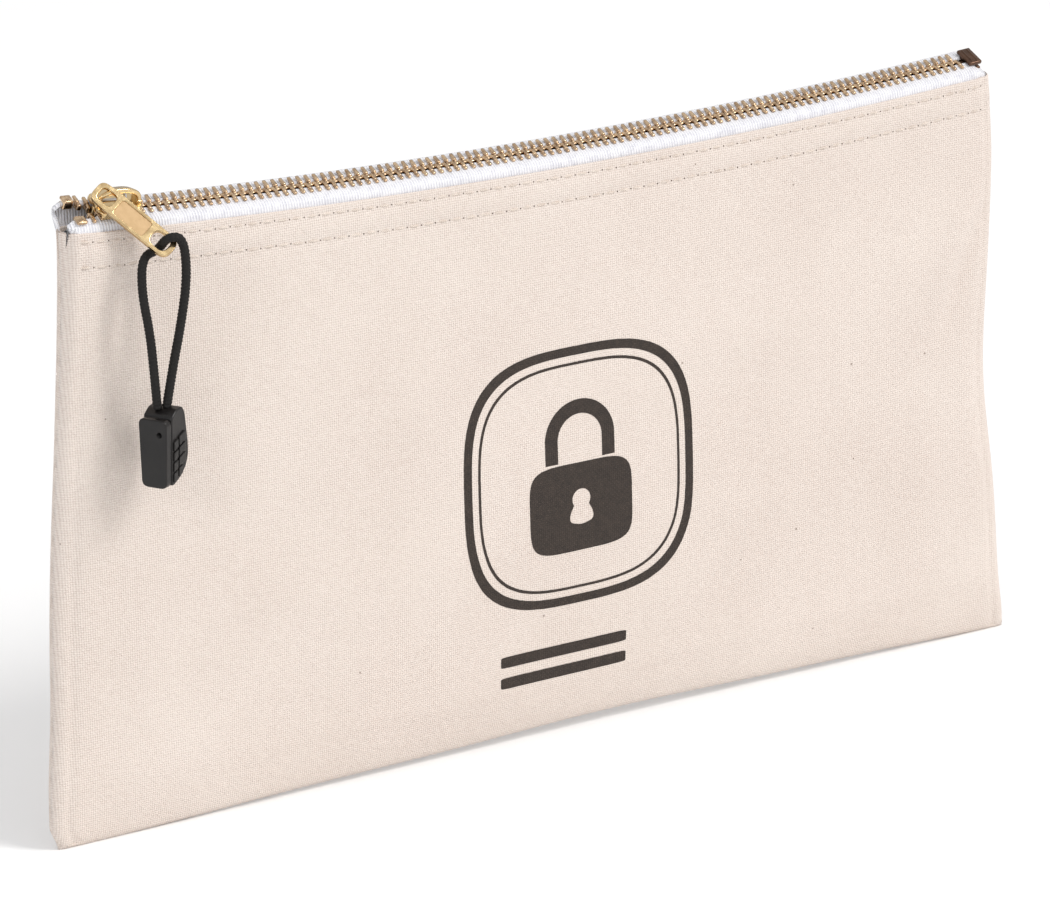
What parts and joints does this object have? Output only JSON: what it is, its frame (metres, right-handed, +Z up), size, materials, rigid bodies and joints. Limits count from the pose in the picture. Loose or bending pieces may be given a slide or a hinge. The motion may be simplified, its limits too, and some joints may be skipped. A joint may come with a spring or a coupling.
{
  "type": "cash deposit bag",
  "caption": "Flat zipped canvas bag for cash and papers, with a brass zip, a locking slider, a metal pull tab and a looped cord with a moulded grip.",
  "frame": {"origin": "middle of the flat underside of the bottom seam", "axes": "+X along the bag from the slider's closed end to the box stop, +Y from the printed front panel to the rear panel, +Z up"},
  "size_m": [0.3174, 0.0336, 0.1841],
  "materials": {
    "canvas": "natural cotton duck canvas, plain weave",
    "tape": "white woven zip tape",
    "zip_brass": "antique brass teeth and stops",
    "dark_brass": "dark oxidised brass",
    "gold": "polished brass plating",
    "spring_steel": "bright spring steel",
    "black_cord": "black braided polyester",
    "black_plastic": "black moulded plastic",
    "thread": "natural cotton sewing thread"
  },
  "bodies": {
    "bag": {"front_panel": "canvas", "rear_panel": "canvas", "left_side_seam": "canvas", "right_side_seam": "canvas", "bottom_seam": "canvas", "front_zip_tape": "tape", "rear_zip_tape": "tape", "front_teeth": "zip_brass", "rear_teeth": "zip_brass", "front_top_stop": "zip_brass", "rear_top_stop": "zip_brass", "bottom_stop": "dark_brass", "front_hem_stitch_upper": "thread", "front_hem_stitch_lower": "thread", "rear_hem_stitch_upper": "thread", "rear_hem_stitch_lower": "thread", "left_side_stitch": "thread", "right_side_stitch": "thread", "bottom_stitch": "thread"},
    "slider": {"slider_body": "gold", "slider_crown": "gold", "lock_spring": "spring_steel"},
    "tab": {"pull_tab": "gold"},
    "cord": {"pull_cord": "black_cord"},
    "grip": {"grip_body": "black_plastic", "grip_cap": "black_plastic", "cord_knot": "black_cord"}
  },
  "joints": [
    {"name": "slider_travel", "type": "hinge", "parent": "bag", "child": "slider", "pos_m": [0, 0, 2.4241], "axis": [0, -1, 0], "range_deg": [0, 6.7], "deforming": ["front_teeth", "rear_teeth"]},
    {"name": "tab_swing", "type": "hinge", "parent": "slider", "child": "tab", "pos_m": [-0.132, 0, 0.1796], "axis": [1, 0, 0], "range_deg": [-120, 0]},
    {"name": "cord_swing", "type": "hinge", "parent": "tab", "child": "cord", "pos_m": [-0.1261, -0.0155, 0.1685], "axis": [1, 0, 0], "range_deg": [-60, 0], "deforming": ["pull_cord"]},
    {"name": "grip_swing", "type": "hinge", "parent": "cord", "child": "grip", "pos_m": [-0.1296, -0.0178, 0.1243], "axis": [1, 0, 0], "range_deg": [-45, 0]}
  ]
}
